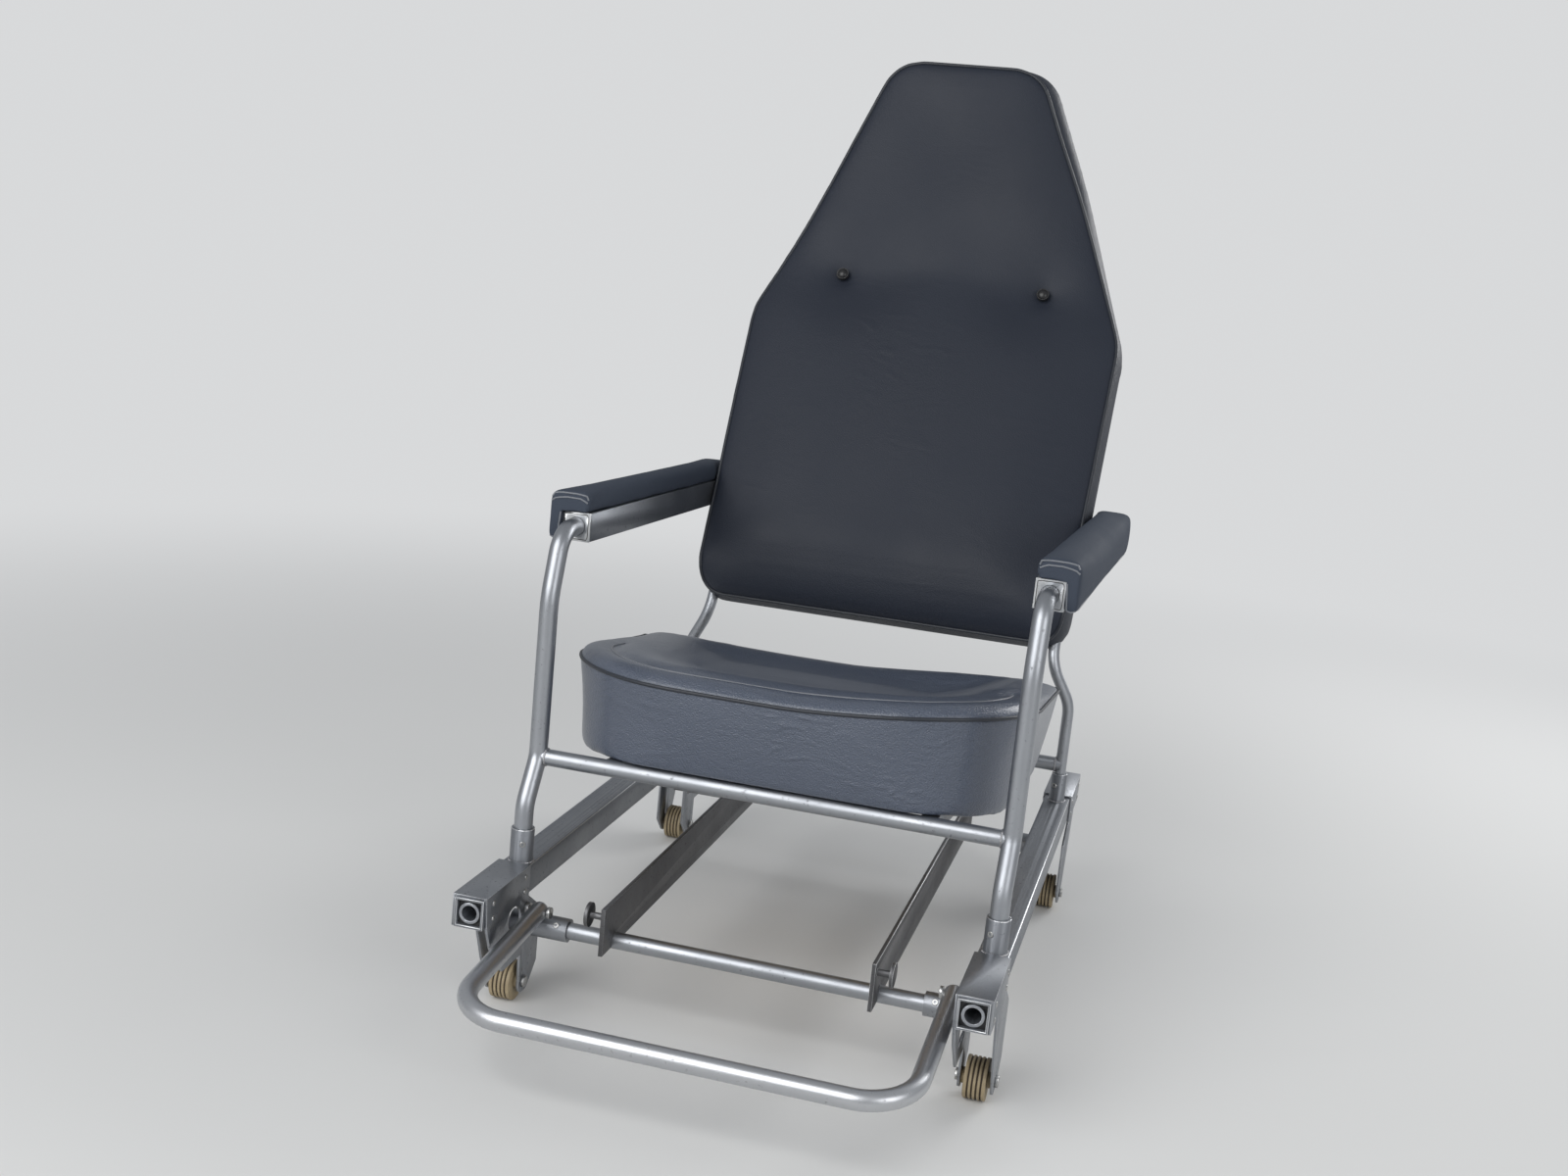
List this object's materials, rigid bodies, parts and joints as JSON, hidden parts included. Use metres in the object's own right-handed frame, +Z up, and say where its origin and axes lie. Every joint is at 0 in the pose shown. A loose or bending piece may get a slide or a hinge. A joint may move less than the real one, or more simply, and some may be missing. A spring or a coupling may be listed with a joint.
{
  "type": "ambulance patient carrying chair",
  "caption": "High-backed vinyl carrying chair with armrests on square runner tubes, with small rollers, a folding foot loop and pull-out handles at both ends.",
  "frame": {"origin": "on the floor under the middle of the chair's outer box", "axes": "+Z up, the chair faces -Y, +X to the right as seen from the front"},
  "size_m": [0.6594, 1.1686, 1.195],
  "materials": {
    "arm_vinyl": "matt grained vinyl",
    "back_vinyl": "matt grained vinyl",
    "seat_vinyl": "satin grained vinyl",
    "frame_metal": "satin anodised",
    "runner_metal": "satin anodised",
    "handle_metal": "satin",
    "bright_tube": "bright drawn",
    "bright_plate": "bright rolled plate",
    "bolt_steel": "zinc plated",
    "roller_plastic": "moulded, worn",
    "black_plastic": "moulded",
    "panel_board": "textured board",
    "plywood": "raw"
  },
  "bodies": {
    "chair": {"arm_end_plate_left": "bright_plate", "arm_end_plate_right": "bright_plate", "arm_pad_left": "arm_vinyl", "arm_pad_right": "arm_vinyl", "arm_tube_left": "frame_metal", "arm_tube_right": "frame_metal", "back_arm_bar": "frame_metal", "back_buttons": "black_plastic", "back_pad": "back_vinyl", "back_panel": "panel_board", "back_top_bar": "frame_metal", "back_upright_left": "frame_metal", "back_upright_right": "frame_metal", "catch_plate_left": "frame_metal", "catch_plate_right": "frame_metal", "front_post_left": "frame_metal", "front_post_right": "frame_metal", "handle_bushes": "black_plastic", "loop_pivots": "bolt_steel", "lower_cross_tube_front": "frame_metal", "lower_cross_tube_rear": "frame_metal", "roller_axles": "bolt_steel", "runner_left": "runner_metal", "runner_right": "runner_metal", "saddle_front_left": "bright_plate", "saddle_front_right": "bright_plate", "saddle_rear_left": "bright_plate", "saddle_rear_right": "bright_plate", "seat_bearers": "frame_metal", "seat_board": "plywood", "seat_front_tube": "frame_metal", "seat_pad": "seat_vinyl", "seat_rear_tube": "frame_metal"},
    "foot_loop": {"foot_loop": "bright_tube"},
    "roller_front_left": {"roller_front_left": "roller_plastic"},
    "roller_front_right": {"roller_front_right": "roller_plastic"},
    "roller_rear_left": {"roller_rear_left": "roller_plastic"},
    "roller_rear_right": {"roller_rear_right": "roller_plastic"},
    "handle_front_left": {"handle_front_left": "handle_metal"},
    "handle_front_right": {"handle_front_right": "handle_metal"},
    "handle_rear_left": {"handle_rear_left": "handle_metal"},
    "handle_rear_right": {"handle_rear_right": "handle_metal"}
  },
  "joints": [
    {"name": "foot_loop_fold", "type": "hinge", "parent": "chair", "child": "foot_loop", "pos_m": [0, -0.33388, 0.118], "axis": [-1, 0, 0], "range_deg": [0, 90]},
    {"name": "roller_front_left_spin", "type": "hinge", "parent": "chair", "child": "roller_front_left", "pos_m": [-0.285, -0.32888, 0.024], "axis": [1, 0, 0], "continuous": true},
    {"name": "roller_front_right_spin", "type": "hinge", "parent": "chair", "child": "roller_front_right", "pos_m": [0.285, -0.32888, 0.024], "axis": [1, 0, 0], "continuous": true},
    {"name": "roller_rear_left_spin", "type": "hinge", "parent": "chair", "child": "roller_rear_left", "pos_m": [-0.285, 0.31112, 0.024], "axis": [1, 0, 0], "continuous": true},
    {"name": "roller_rear_right_spin", "type": "hinge", "parent": "chair", "child": "roller_rear_right", "pos_m": [0.285, 0.31112, 0.024], "axis": [1, 0, 0], "continuous": true},
    {"name": "handle_front_left_slide", "type": "slide", "parent": "chair", "child": "handle_front_left", "axis": [0, -1, 0], "range_m": [0, 0.3]},
    {"name": "handle_front_right_slide", "type": "slide", "parent": "chair", "child": "handle_front_right", "axis": [0, -1, 0], "range_m": [0, 0.3]},
    {"name": "handle_rear_left_slide", "type": "slide", "parent": "chair", "child": "handle_rear_left", "axis": [0, 1, 0], "range_m": [0, 0.3]},
    {"name": "handle_rear_right_slide", "type": "slide", "parent": "chair", "child": "handle_rear_right", "axis": [0, 1, 0], "range_m": [0, 0.3]}
  ]
}
